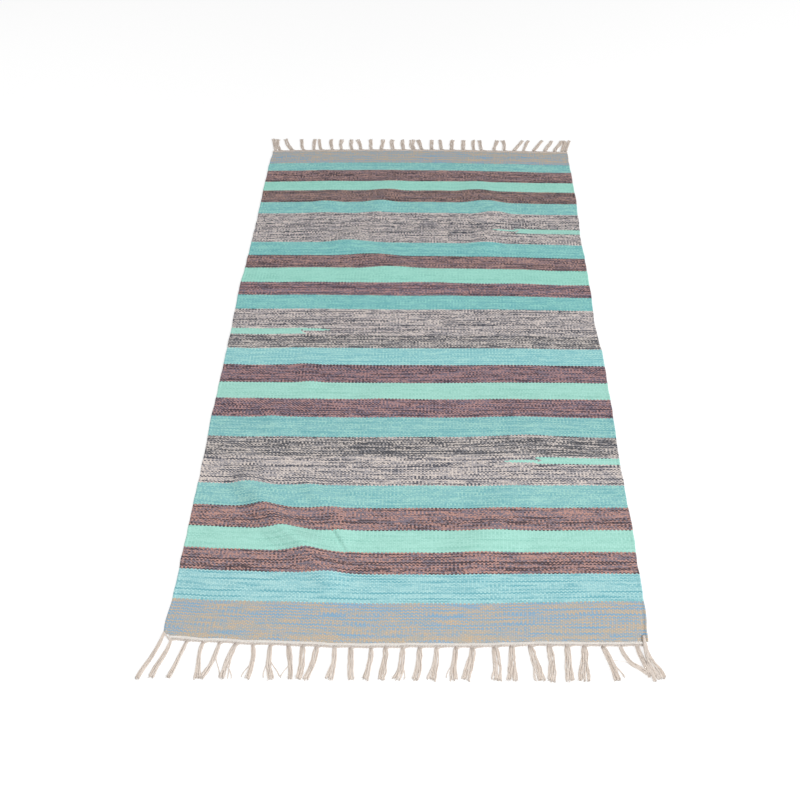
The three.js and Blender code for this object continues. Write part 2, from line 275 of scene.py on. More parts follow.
def put_uv(obj, name, per_point):
    layer = obj.data.uv_layers.new(name=name)
    index = np.empty(len(obj.data.loops), np.int32)
    obj.data.loops.foreach_get("vertex_index", index)
    layer.uv.foreach_set("vector", np.asarray(per_point, np.float32)[index].ravel())


def put_float(obj, name, per_point):
    layer = obj.data.attributes.new(name, "FLOAT", "POINT")
    layer.data.foreach_set("value", np.asarray(per_point, np.float32))


# ------------------------------------------------------------------ the woven body
EDGE_STEPS = [0.0, 0.35, 0.9, 1.7, 2.9, 4.6, 7.0]      # mm in from an edge, where the cloth rounds over
ROUND = 2.2                                             # mm over which it does


def stations(length, step, fine, low, high):
    """Places along a side of the rug, in mm from its first edge: step apart, fine apart between low and high
    (from the middle), and closer still at the two edges."""
    low, high = low + length / 2, high + length / 2
    inner = np.concatenate([
        np.linspace(0, low, int(round(low / step)) + 1)[:-1],
        np.linspace(low, high, int(round((high - low) / fine)) + 1)[:-1],
        np.linspace(high, length, int(round((length - high) / step)) + 1),
    ])
    inner = inner[(inner > EDGE_STEPS[-1] + 1) & (inner < length - EDGE_STEPS[-1] - 1)]
    return np.concatenate([EDGE_STEPS, inner, length - np.array(EDGE_STEPS)[::-1]])


def edge_rounding(d):
    """0 at the very edge to 1 inside, on a quarter round."""
    k = np.clip(d / ROUND, 0, 1)
    return np.sqrt(1 - (1 - k) ** 2)


def cloth():
    xs = stations(RUG_WIDTH, 5.0, 3.0, -330, -90)
    ys = stations(RUG_LENGTH, 4.6, 3.0, -600, -490)
    s, t = np.meshgrid(xs / RUG_WIDTH, ys / RUG_LENGTH)
    x, y = plan_point(s, t)
    dx = np.minimum(s, 1 - s) * RUG_WIDTH
    dy = np.minimum(t, 1 - t) * RUG_LENGTH
    inside = edge_rounding(dx) * edge_rounding(dy)
    # the selvedge: a slightly thicker bundle of warps along each side, and a shallow groove inside it
    selvedge = 0.55 * np.exp(-((dx - 3.2) / 2.2) ** 2) - 0.35 * np.exp(-((dx - 8.5) / 2.5) ** 2)
    curled = smoothstep((-y - 640) / 70) * smoothstep(x / 200)
    selvedge -= 2.4 * curled * np.exp(-((dx - 6.6) / 2.0) ** 2)
    uneven = 0.16 * waves(x, y, 46, 3) + 0.22 * waves(x, y, 140, 4)
    fine, push = fine_lines(x, y)
    base = rise(x, y) + np.maximum(fine, 0)
    top = base + np.minimum(fine, 0) + CLOTH_THICK * (0.5 + 0.5 * inside) + (selvedge + uneven) * inside
    # edges that wander a little, as woven ones do
    wander_x = 0.55 * waves(y, 0 * y, 38, 5) * np.exp(-dx / 14)
    x_top, y = cut_corners(x + wander_x, y)
    t_weave = t - (bow(x, y) + push) / RUG_LENGTH
    rows, cols = s.shape
    top_points = np.stack([x_top, y, top], -1).reshape(-1, 3)
    top_uv = np.stack([s * WARPS, t_weave * PICKS], -1).reshape(-1, 2)
    faces = []

    def at(i, j):
        return i * cols + j

    i, j = np.meshgrid(np.arange(rows - 1), np.arange(cols - 1), indexing="ij")
    a, b, c, d = at(i, j).ravel(), at(i, j + 1).ravel(), at(i + 1, j + 1).ravel(), at(i + 1, j).ravel()
    faces.append(np.stack([a, b, c, d], 1))

    # the underside, on every third station
    def thin(values):
        keep = np.zeros(len(values), bool)
        keep[::3] = True
        keep[-1] = True
        keep[0] = True
        return np.flatnonzero(keep)

    ki, kj = thin(ys), thin(xs)
    sb, tb = s[np.ix_(ki, kj)], t_weave[np.ix_(ki, kj)]
    xb, yb = x_top[np.ix_(ki, kj)].copy(), y[np.ix_(ki, kj)].copy()
    under = base[np.ix_(ki, kj)].copy()
    ring = np.zeros(sb.shape, bool)
    ring[0], ring[-1], ring[:, 0], ring[:, -1] = True, True, True, True
    under[ring] += 0.22 * CLOTH_THICK
    xb[:, 0] += 0.25
    xb[:, -1] -= 0.25
    yb[0] += 0.25
    yb[-1] -= 0.25
    start = len(top_points)
    under_points = np.stack([xb, yb, under], -1).reshape(-1, 3)
    under_uv = np.stack([sb * WARPS, tb * PICKS], -1).reshape(-1, 2)
    rb, cb = sb.shape

    def low(i, j):
        return start + i * cb + j

    i, j = np.meshgrid(np.arange(rb - 1), np.arange(cb - 1), indexing="ij")
    a, b, c, d = low(i, j).ravel(), low(i + 1, j).ravel(), low(i + 1, j + 1).ravel(), low(i, j + 1).ravel()
    faces.append(np.stack([a, b, c, d], 1))
    quads = [tuple(int(v) for v in f) for part in faces for f in part]
    walls = []
    for k in range(cb - 1):
        span = list(range(kj[k], kj[k + 1] + 1))
        walls.append([low(0, k), low(0, k + 1)] + [at(0, j) for j in reversed(span)])
        walls.append([low(rb - 1, k + 1), low(rb - 1, k)] + [at(rows - 1, j) for j in span])
    for k in range(rb - 1):
        span = list(range(ki[k], ki[k + 1] + 1))
        walls.append([low(k + 1, 0), low(k, 0)] + [at(i, 0) for i in span])
        walls.append([low(k, cb - 1), low(k + 1, cb - 1)] + [at(i, cols - 1) for i in reversed(span)])
    points = to_frame(np.concatenate([top_points, under_points]))
    obj = make_mesh("rug_cloth", points, quads + walls)
    put_uv(obj, "weave", np.concatenate([top_uv, under_uv]))
    return obj


# ------------------------------------------------------------------ yarns
def sweep(path, radius, sides, turns_per_mm=0.0, squash=1.0, phase=0.0):
    """A closed tube along path (n x 3, mm). Its section is an oval that turns along the path, as a plied yarn does."""
    path = np.asarray(path, float)
    n = len(path)
    tangent = np.gradient(path, axis=0)
    tangent /= np.linalg.norm(tangent, axis=1, keepdims=True) + 1e-9
    side = np.cross(tangent, [0.0, 0.0, 1.0])
    side /= np.linalg.norm(side, axis=1, keepdims=True) + 1e-9
    up = np.cross(side, tangent)
    step = np.linalg.norm(np.diff(path, axis=0), axis=1)
    along = np.concatenate([[0], np.cumsum(step)])
    radius = np.broadcast_to(np.asarray(radius, float), n)
    angle = np.arange(sides) * 2 * math.pi / sides
    turn = phase + 2 * math.pi * turns_per_mm * along
    ca, sa = np.cos(angle)[None], np.sin(angle)[None]
    u = radius[:, None] * ca
    v = radius[:, None] * sa * squash
    ct, st = np.cos(turn)[:, None], np.sin(turn)[:, None]
    uu, vv = u * ct - v * st, u * st + v * ct
    ring = path[:, None] + uu[..., None] * side[:, None] + vv[..., None] * up[:, None]
    ring[..., 2] = np.maximum(ring[..., 2], 0.05)
    points = np.concatenate([ring.reshape(-1, 3), path[:1], path[-1:]])
    i, j = np.meshgrid(np.arange(n - 1), np.arange(sides), indexing="ij")
    k = (j + 1) % sides
    quads = np.stack([i * sides + j, i * sides + k, (i + 1) * sides + k, (i + 1) * sides + j], -1).reshape(-1, 4)
    j = np.arange(sides)
    k = (j + 1) % sides
    first = np.stack([np.full(sides, n * sides), k, j], -1)
    last = np.stack([np.full(sides, n * sides + 1), (n - 1) * sides + j, (n - 1) * sides + k], -1)
    uv = np.stack([np.repeat(along, sides), np.tile(angle / (2 * math.pi), n)], -1)
    uv = np.concatenate([uv, [[0, 0], [along[-1], 0]]])
    return points, quads, np.concatenate([first, last]), uv


class Yarns:
    """Collects tubes into one mesh."""

    def __init__(self):
        self.points, self.quads, self.caps, self.uv, self.tone, self.deep, self.count = [], [], [], [], [], [], 0

    def add(self, path, radius, sides=6, tone=0.5, deep=0.0, **more):
        points, quads, caps, uv = sweep(path, radius, sides, **more)
        self.points.append(points)
        self.quads.append(quads + self.count)
        self.caps.append(caps + self.count)
        self.uv.append(uv)
        self.tone.append(np.full(len(points), tone))
        # deep: how far painted shade darkens each point of the tube
        deep = np.broadcast_to(np.asarray(deep, float), len(path))
        self.deep.append(np.concatenate([np.repeat(deep, sides), deep[:1], deep[-1:]]))
        self.count += len(points)

    def build(self, name):
        faces = [tuple(int(v) for v in f) for part in self.quads for f in part]
        faces += [tuple(int(v) for v in f) for part in self.caps for f in part]
        obj = make_mesh(name, to_frame(np.concatenate(self.points)), faces)
        put_uv(obj, "yarn", np.concatenate(self.uv))
        put_float(obj, "tone", np.concatenate(self.tone))
        # the deep attribute carries painted shade to the material
        put_float(obj, "deep", np.concatenate(self.deep))
        return obj


def spline(keys, count):
    """count points on a smooth curve through the key points."""
    keys = np.asarray(keys, float)
    step = np.linalg.norm(np.diff(keys, axis=0), axis=1)
    at = np.concatenate([[0], np.cumsum(step)])
    t = np.linspace(0, at[-1], count)
    slope = np.gradient(keys, at, axis=0)
    i = np.clip(np.searchsorted(at, t, side="right") - 1, 0, len(at) - 2)
    h = (at[i + 1] - at[i])[:, None]
    w = ((t - at[i])[:, None]) / h
    return ((2 * w**3 - 3 * w**2 + 1) * keys[i] + (w**3 - 2 * w**2 + w) * h * slope[i]
            + (-2 * w**3 + 3 * w**2) * keys[i + 1] + (w**3 - w**2) * h * slope[i + 1])


YARN_R = 1.15               # a warp end, two plies
KNOT_OUT = 9.2              # how far out from the woven edge the warps are drawn together
# the heading's cords: how far out from the woven edge, radius of a cord, height of its middle
HEADING_ROWS = [
    (2.1, 1.85, 3.1),
    (6.3, 1.40, 2.2),
]
# tassels that bend more than their row tells: their middle line as (x, y, rest height, width)
BENDS = {
    "fringe_near": {
        0: [(-453, -745, 1.6, 6), (-459, -768, 0.1, 8.5), (-467, -790, 0.1, 8.5), (-477, -810, 0.1, 8.5), (-484.5, -829, 0.1, 8.5)],
        1: [(-438, -757, 0.2, 6), (-441, -774, 0.1, 9), (-447.5, -792, 0.1, 11), (-455, -810, 0.1, 11.5), (-460, -826, 0.1, 12)],
        27: [(400, -757, 0.2, 7), (406.5, -774, 0.1, 9), (417, -790, 0.1, 10), (430, -797, 0.1, 10), (445, -808, 0.1, 10)],
        28: [(431, -757, 0.2, 8), (434, -768, 0.1, 10), (438, -780, 0.1, 10), (442, -790, 0.6, 11), (446, -800, 0.4, 12), (449, -812, 0.1, 12)],
        29: [(446.5, -740, 4.0, 5), (446.0, -750, 4.3, 7), (446.5, -760, 3.4, 10), (448, -774, 2.6, 13), (453, -790, 2.2, 17),
             (460, -806, 1.4, 24), (464, -817, 0.4, 30)],
    },
    "fringe_far": {},
}
# strands that stray: the tassel's number from the left, where on its length one leaves (0 root, 1 tip),
# x of its tip and how far short of the others it ends
STRAY_COLUMNS = ("tassel", "leaves", "tip", "short")
STRAYS = {
    "fringe_near": [
        (4, 0.35, -338.0, 0.0), (5, 0.25, -320.0, 0.0), (5, 0.45, -313.0, 0.0), (6, 0.35, -296.0, 2.0),
        (7, 0.20, -255.0, 0.0), (7, 0.35, -226.0, 4.0), (8, 0.40, -224.0, 2.0), (15, 0.55, 0.5, 0.0),
        (18, 0.25, 77.0, 4.0), (26, 0.60, 401.0, 7.0), (26, 0.62, 399.0, 9.0),
    ],
    "fringe_far": [(7, 0.30, -238.0, 0.0), (14, 0.30, -16.0, 0.0), (30, 0.30, 452.0, 0.0)],
}
# single threads lying by the fringe
THREADS = {
    "fringe_near": [[(384, -784, 1.8), (403, -786, 0.5), (426, -792, 0.5)]],
    "fringe_far": [],
}
# how far in from the sides the heading's cords begin and stop
HEADING_ENDS = {"fringe_near": (12.0, 8.0), "fringe_far": (1.0, 1.0)}


def smoothstep(value):
    value = np.clip(value, 0, 1)
    return value * value * (3 - 2 * value)


def fringe(name, rows, end, reach, seed):
    """One end's fringe: a twined heading, and the warps drawn together into tassels."""
    rng = np.random.default_rng(seed)
    edge = near_edge if end < 0 else far_edge
    yarns = Yarns()
    roots = [row[0] for row in rows]
    strays = [dict(zip(STRAY_COLUMNS, row)) for row in STRAYS[name]]
    grid = 26
    f = np.linspace(0, 1, grid)
    for k, (root, middle, tip, waist, tip_width, short) in enumerate(rows):
        slope = NEAR_CUT_SLOPE * tip if end < 0 else 0.0
        tip_y = end * (RUG_LENGTH / 2 + reach - short) + slope
        root_y = float(edge(root)) + end * KNOT_OUT
        bend = BENDS[name].get(k)
        if bend:
            line = spline([(x, y, z) for x, y, z, _ in bend], grid)
            at = np.array([row[3] for row in bend], float)
            width = np.interp(f, np.linspace(0, 1, len(at)), at)
        else:
            # an even curve through root, middle and tip, that leaves the heading straight
            cx = (1 - f) ** 2 * root + 2 * f * (1 - f) * (2 * middle - (root + tip) / 2) + f * f * tip
            cy = root_y + (tip_y - root_y) * f
            line = np.stack([cx + 0.5 * np.sin(f * 7 + k), cy, np.full(grid, 0.1)], -1)
            width = waist + (tip_width - waist) * smoothstep((f - 0.3) / 0.7)
            width = width * (0.87 + (0.25 if end < 0 else 0.43) * smoothstep(f / 0.16))
        tangent = np.gradient(line[:, :2], axis=0)
        tangent /= np.linalg.norm(tangent, axis=1, keepdims=True)
        across = np.stack([-tangent[:, 1], tangent[:, 0]], -1) * -end
        count = max(7, int(round((waist + tip_width) / 2 / (1.30 if end < 0 else 1.35))))
        spin = rng.choice([-1, 1]) * rng.uniform(0.04, 0.20)
        sway = rng.uniform(0, 2 * math.pi, (count, 2))
        drift = rng.normal(0, 1, count)
        gap_right = (roots[k + 1] - root) if k + 1 < len(rows) else 12.0
        mine = [s for s in strays if s["tassel"] == k]
        for m in range(count + len(mine)):
            stray = mine[m - count] if m >= count else None
            j = m % count
            # strands lie round a flattened bundle that turns slowly along its length
            turn = 2 * math.pi * (j / count + spin * f + 0.035 * np.sin(5.2 * f + sway[j, 0]) + 0.02 * np.sin(11 * f + sway[j, 1]))
            place = np.arcsin(np.cos(turn)) / (math.pi / 2)
            lift = 0.5 + 0.5 * np.clip(1.7 * np.sin(turn), -1, 1)
            off = place * (width / 2 - 0.8 * YARN_R) + 0.35 * drift[j] * f**2
            points = np.zeros((grid, 3))
            points[:, :2] = line[:, :2] + across * off[:, None]
            points[:, 2] = line[:, 2] + YARN_R + 1.75 * lift * (1 - 0.35 * f * (width > 16))
            if stray:
                g = smoothstep((f - stray["leaves"]) / (1 - stray["leaves"]))
                reach_y = tip_y - end * stray["short"]
                points[:, 0] += (stray["tip"] - points[-1, 0]) * g
                points[:, 1] = points[0, 1] + (reach_y - points[0, 1]) * f
                points[:, 2] = points[:, 2] * (1 - g) + YARN_R * g
            points[-1, :2] += tangent[-1] * rng.normal(0, 1.1)
            # where the strand comes from, under the heading
            p0 = points[0]
            if bend and k == 29:
                lead = [(p0[0] * 0.7 + line[0, 0] * 0.3, p0[1] + 2.2, 5.4)]
                points[0, 2] = max(p0[2], 6.0)
            elif bend and k == 0:
                lead = [(p0[0] + 2.5, p0[1] + 4.0, 3.0), (p0[0] + 1.0, p0[1] + 1.5, 3.2)]
            elif place[0] > 0.25 and lift[0] > 0.3 and not stray:
                # laid in along the heading from the right, then turned down into the tassel
                far_x = root + gap_right * rng.uniform(0.55, 0.85)
                lead = [
                    (far_x, float(edge(far_x)) + end * 5.2, 2.4),
                    (root + gap_right * 0.40, float(edge(root)) + end * 6.6, 2.9),
                    (root + gap_right * 0.17 + 1.0, float(edge(root)) + end * 8.4, 3.2),
                ]
                points[0] = (p0[0] * 0.5 + root * 0.5 + 1.4, p0[1] + end * 1.6, p0[2] + 0.2)
            else:
                aside = rng.uniform(-5, 5) + 3 * place[0]
                lead = [
                    (root + aside, float(edge(root)) - end * 2.5, 2.0),
                    (root + 0.8 * aside, float(edge(root)) + end * 3.2, 2.0),
                    (root + 0.45 * aside, float(edge(root)) + end * 5.6, 1.9 + 0.5 * lift[0]),
                ]
            path = spline(lead + [tuple(p) for p in points], 36 if end < 0 else 32)
            path[:, 2] = np.maximum(path[:, 2], YARN_R * 0.95)
            g = np.linspace(0, 1, len(path))
            # the strands untwist and grow thicker towards their ends
            radius = YARN_R * (1 + 0.07 * np.sin(g * 29 + m * 1.7) + 0.26 * smoothstep((g - 0.35) / 0.6) - 0.35 * np.clip((g - 0.96) / 0.04, 0, 1))
            if stray:
                radius = radius * 0.8
            # painted shade: strands that pass at the left of the root are darkened where the heading's shadow falls
            deep = np.exp(-((g - 0.13) / 0.07) ** 2) * (0.5 - 0.5 * place[0]) * (0.0 if bend else 1.0)
            # painted shade: the far tassels take the darker half of the tones, though they are ends of the same warps
            # as the near ones
            yarns.add(path, radius, 5, tone=rng.uniform(0, 1) if end < 0 else rng.uniform(0.5, 1.2), deep=deep, turns_per_mm=0.10, squash=0.85,
                      phase=rng.uniform(0, 6.28))
            # fibres that work loose at the cut end
            for _ in range(3):
                start = path[-1] + np.array([rng.normal(0, 0.6), -end * rng.uniform(0, 5), 0])
                out = np.array([rng.normal(0, 1.6), end * rng.uniform(0.8, 3.0), rng.uniform(-0.3, 0.5)])
                hair = spline([start, start + out * 0.5 + rng.normal(0, 0.4, 3), start + out * 1.2], 5)
                hair[:, 2] = np.maximum(hair[:, 2], 0.3)
                yarns.add(hair, 0.22, 3, tone=rng.uniform(0.3, 1))
    for keys in THREADS[name]:
        yarns.add(spline(keys, 24), 0.35, 4, tone=0.6)
    tassels = yarns.build(name + "_tassels")

    # the twined heading: rows of two cords wound round each other along the woven edge
    cords = Yarns()
    y_end = 0.0 if end < 0 else 1.0
    in_left, in_right = HEADING_ENDS[name]
    turns = WARPS / 2
    for row, (out, radius, height) in enumerate(HEADING_ROWS):
        for half in (0, 1):
            s = np.linspace(in_left / RUG_WIDTH, 1 - in_right / RUG_WIDTH, int(WARPS / 2 * 8) + 1)
            px, py = plan_point(s, np.full(len(s), y_end))
            a = 2 * math.pi * turns * (1.0 if row == 0 else 0.7) * s + math.pi * half + row
            wobble = 0.30 * waves(px, 0 * px, 50, seed + 1 + row)
            path = np.stack([px, py + end * (out + wobble + 0.85 * radius * np.cos(a)), height + 0.8 * radius * np.sin(a)], -1)
            path[:, 2] = np.maximum(path[:, 2], radius)
            # painted shade: the second row's cords are darkened on the side that lies against the first row
            deep = 0.55 * row * (0.5 - 0.5 * np.cos(a))
            # painted light: tones below zero make the near heading's rows paler, the first row most; the far heading
            # takes a middle tone
            cords.add(path, radius * 0.86, 6, tone=(0.3 if end > 0 else -1.0 if row == 0 else -0.45) + 0.25 * half, deep=deep, turns_per_mm=0.09, squash=0.85)
    if end < 0:
        # the cut corner at the left is bound with a cord of its own
        a = np.linspace(0, 1, 40)
        for half in (0, 1):
            w = 0.7 * np.sin(2 * math.pi * 3 * a + math.pi * half)
            path = np.stack([-454.2 + 14.5 * a + 0.7 * w, -743.8 - 13.8 * a + 0.7 * w, 3.4 - 0.5 * a + 0.7 * np.cos(2 * math.pi * 3 * a + math.pi * half)], -1)
            cords.add(path, 1.0, 6, tone=0.3 * half, turns_per_mm=0.09, squash=0.85)
    heading = cords.build(name + "_heading")
    return tassels, heading


# ------------------------------------------------------------------ node helpers
class Nodes:
    """Short calls for building a node tree."""

    def __init__(self, material):
        material.use_nodes = True
        self.tree = material.node_tree
        self.tree.nodes.clear()

    def new(self, kind, **settings):
        node = self.tree.nodes.new(kind)
        for key, value in settings.items():
            setattr(node, key, value)
        return node

    def link(self, a, b):
        self.tree.links.new(a, b)

    def feed(self, socket, value):
        if isinstance(value, bpy.types.NodeSocket):
            self.link(value, socket)
        elif value is not None:
            socket.default_value = value

    def math(self, operation, a, b=None, c=None, clamp=False):
        node = self.new("ShaderNodeMath", operation=operation, use_clamp=clamp)
        for socket, value in zip(node.inputs, (a, b, c)):
            self.feed(socket, value)
        return node.outputs[0]

    def join(self, x, y, z=0.0):
        node = self.new("ShaderNodeCombineXYZ")
        for socket, value in zip(node.inputs, (x, y, z)):
            self.feed(socket, value)
        return node.outputs[0]

    def noise(self, vector, scale=1.0, detail=1.0, rough=0.5, dims="2D"):
        node = self.new("ShaderNodeTexNoise", noise_dimensions=dims)
        self.feed(node.inputs["Vector"], vector)
        node.inputs["Scale"].default_value = scale
        node.inputs["Detail"].default_value = detail
        node.inputs["Roughness"].default_value = rough
        return node.outputs["Fac"]

    def white(self, vector):
        node = self.new("ShaderNodeTexWhiteNoise", noise_dimensions="2D")
        self.feed(node.inputs["Vector"], vector)
        return node.outputs["Value"]

    def smooth(self, value, low, high, out_low=0.0, out_high=1.0):
        node = self.new("ShaderNodeMapRange", interpolation_type="SMOOTHSTEP")
        for key, v in (("Value", value), ("From Min", low), ("From Max", high), ("To Min", out_low), ("To Max", out_high)):
            self.feed(node.inputs[key], v)
        return node.outputs["Result"]

    def remap(self, value, low, high, out_low=0.0, out_high=1.0, clamp=True):
        node = self.new("ShaderNodeMapRange", interpolation_type="LINEAR", clamp=clamp)
        for key, v in (("Value", value), ("From Min", low), ("From Max", high), ("To Min", out_low), ("To Max", out_high)):
            self.feed(node.inputs[key], v)
        return node.outputs["Result"]

    def mix(self, factor, a, b, blend="MIX"):
        node = self.new("ShaderNodeMix", data_type="RGBA", blend_type=blend)
        self.feed(node.inputs["Factor"], factor)
        colours = [s for s in node.inputs if s.type == "RGBA"]
        for socket, value in zip(colours, (a, b)):
            if isinstance(value, tuple) and len(value) == 3:
                value = (*value, 1.0)
            self.feed(socket, value)
        return [s for s in node.outputs if s.type == "RGBA"][0]

    def ramp(self, value, stops):
        """Steps of colour: stops is [(place, (r, g, b))]."""
        node = self.new("ShaderNodeValToRGB")
        ramp = node.color_ramp
        ramp.interpolation = "CONSTANT"
        ramp.elements[0].position = 0.0
        ramp.elements[0].color = (*stops[0][1], 1)
        ramp.elements[1].position = stops[1][0]
        ramp.elements[1].color = (*stops[1][1], 1)
        for place, colour in stops[2:]:
            made = ramp.elements.new(place)
            made.color = (*colour, 1)
        self.feed(node.inputs["Fac"], value)
        return node.outputs["Color"]


def linear(r, g, b):
    """Linear colour from 8-bit sRGB."""
    def one(v):
        v /= 255
        return v / 12.92 if v <= 0.04045 else ((v + 0.055) / 1.055) ** 2.4
    return (one(r), one(g), one(b))


# ------------------------------------------------------------------ the weave's colours
# each kind of weft: its light, middle and dark strand, the share of the dark one, how soft the change
# to it is, how far its twist shows, how strongly painted shade darkens the hollows between its floats,
# how far one pick differs from the next, and how far two picks that follow each other share their colour
YARNS = {
    "mint": (linear(167, 219, 206), linear(159, 212, 198), linear(143, 199, 185), 0.22, 0.80, 0.04, 0.45, 0.9, 0.00),
    "deep mint": (linear(161, 221, 206), linear(153, 214, 199), linear(137, 201, 186), 0.22, 0.80, 0.04, 0.45, 0.9, 0.00),
    "turquoise": (linear(159, 209, 201), linear(135, 189, 191), linear(111, 173, 178), 0.30, 0.70, 0.08, 0.55, 0.5, 0.00),
    "clear turquoise": (linear(155, 212, 202), linear(132, 192, 193), linear(108, 175, 179), 0.30, 0.70, 0.08, 0.55, 0.5, 0.00),
    "deep turquoise": (linear(148, 210, 201), linear(126, 190, 191), linear(103, 174, 178), 0.30, 0.70, 0.08, 0.55, 0.5, 0.00),
    "pale turquoise": (linear(169, 219, 214), linear(144, 201, 204), linear(120, 184, 191), 0.30, 0.70, 0.08, 0.55, 0.5, 0.30),
    "aqua": (linear(172, 216, 216), linear(153, 203, 207), linear(107, 172, 183), 0.30, 0.70, 0.10, 0.80, 0.5, 0.60),
    "brown": (linear(184, 144, 141), linear(128, 116, 131), linear(78, 65, 74), 0.365, 0.34, 0.14, 1.00, 0.3, 0.00),
    "dim brown": (linear(178, 138, 136), linear(124, 112, 126), linear(75, 62, 71), 0.375, 0.34, 0.14, 1.00, 0.3, 0.00),
    "warm brown": (linear(181, 145, 137), linear(128, 110, 119), linear(75, 61, 66), 0.36, 0.34, 0.14, 1.00, 0.3, 0.00),
    "deep brown": (linear(173, 140, 129), linear(122, 106, 113), linear(71, 59, 62), 0.365, 0.34, 0.14, 1.00, 0.3, 0.00),
    "rosy brown": (linear(191, 148, 138), linear(128, 118, 129), linear(78, 66, 70), 0.35, 0.34, 0.14, 1.00, 0.3, 0.00),
    "grey": (linear(221, 209, 203), linear(166, 161, 164), linear(75, 77, 86), 0.35, 0.34, 0.14, 1.00, 0.3, 0.00),
    "pale grey": (linear(221, 209, 201), linear(169, 164, 167), linear(82, 84, 94), 0.325, 0.34, 0.14, 1.00, 0.3, 0.00),
    "charcoal": (linear(211, 201, 194), linear(141, 139, 143), linear(75, 76, 82), 0.45, 0.34, 0.16, 1.00, 0.3, 0.00),
    "bluebeige": (linear(201, 179, 152), linear(178, 175, 166), linear(131, 171, 201), 0.36, 0.56, 0.14, 1.05, 0.9, 0.66),
}
# stripes from the near end to the far end: kind of weft, and where it begins, in mm from the middle
# the named variants of one colour (deep, dim, clear, pale, rosy, warm) set single stripes a little lighter, darker or
# other in hue, to follow how each looks where it lies: in part painted light and shade
STRIPES = [
    ("bluebeige", -760.0), ("aqua", -681.6), ("rosy brown", -627.3), ("mint", -580.3), ("rosy brown", -529.3),
    ("turquoise", -477.6), ("pale grey", -425.9), ("charcoal", -352.0), ("turquoise", -296.0),
    ("brown", -246.0), ("mint", -191.5), ("dim brown", -144.4), ("pale turquoise", -93.4), ("charcoal", -40.6),
    ("grey", 6.0), ("deep turquoise", 90.4), ("brown", 142.2), ("deep mint", 186.7), ("warm brown", 239.0),
    ("deep turquoise", 289.6), ("grey", 340.7), ("clear turquoise", 463.8), ("deep brown", 512.2),
    ("deep mint", 563.6), ("warm brown", 610.0), ("clear turquoise", 659.0), ("bluebeige", 693.9),
]
# slivers of mint weft that come in from a side: the side, where the thin tongue, the two prongs and the
# notch between them end, and from where to where each reaches, in mm from the middle
SLIVER_COLUMNS = ("side", "tongue", "prongs", "notch", "low", "high", "tongue_low", "tongue_high")
SLIVERS = [
    (1, 196.0, 268.0, 285.0, -367.5, -352.0, -364.5, -359.0),
    (-1, -202.0, -266.0, -279.0, 9.5, 29.5, 20.0, 26.7),
    (1, 203.0, 270.0, 284.0, 387.5, 404.5, 395.0, 400.5),
]
FLOAT_HALF_WIDE = 0.78      # half a float's width, in warps
FLOAT_HALF_HIGH = 0.62      # half its height, in pairs of picks


def along_weave(y):
    """Place along the rug, 0 to 1, of a plan y at its middle."""
    low, high = float(near_edge(0.0)), float(far_edge(0.0))
    return (y - low) / (high - low)


